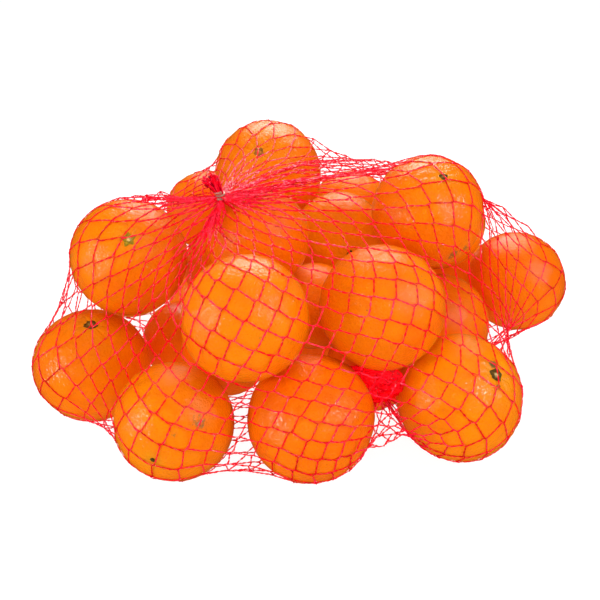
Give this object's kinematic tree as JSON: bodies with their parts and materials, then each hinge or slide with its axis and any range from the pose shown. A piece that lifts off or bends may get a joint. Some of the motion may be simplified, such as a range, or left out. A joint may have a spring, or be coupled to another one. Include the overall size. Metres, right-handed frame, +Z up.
{
  "type": "net bag of clementines",
  "caption": "Red knitted net bag filled with clementines, lying on a table, its gathered mouth clipped on top.",
  "frame": {"origin": "middle of the bag's footprint, on the table it lies on", "axes": "+X along the bag's long side, +Y away from the side with the bottom gather, +Z up"},
  "size_m": [0.2909, 0.2219, 0.1395],
  "materials": {
    "clementine_rind": "satin",
    "net_yarn": "satin",
    "clip_wire": "satin"
  },
  "bodies": {
    "root": {"net_bag": "clementine_rind", "top_tail": "net_yarn", "top_clip": "clip_wire"}
  },
  "joints": []
}
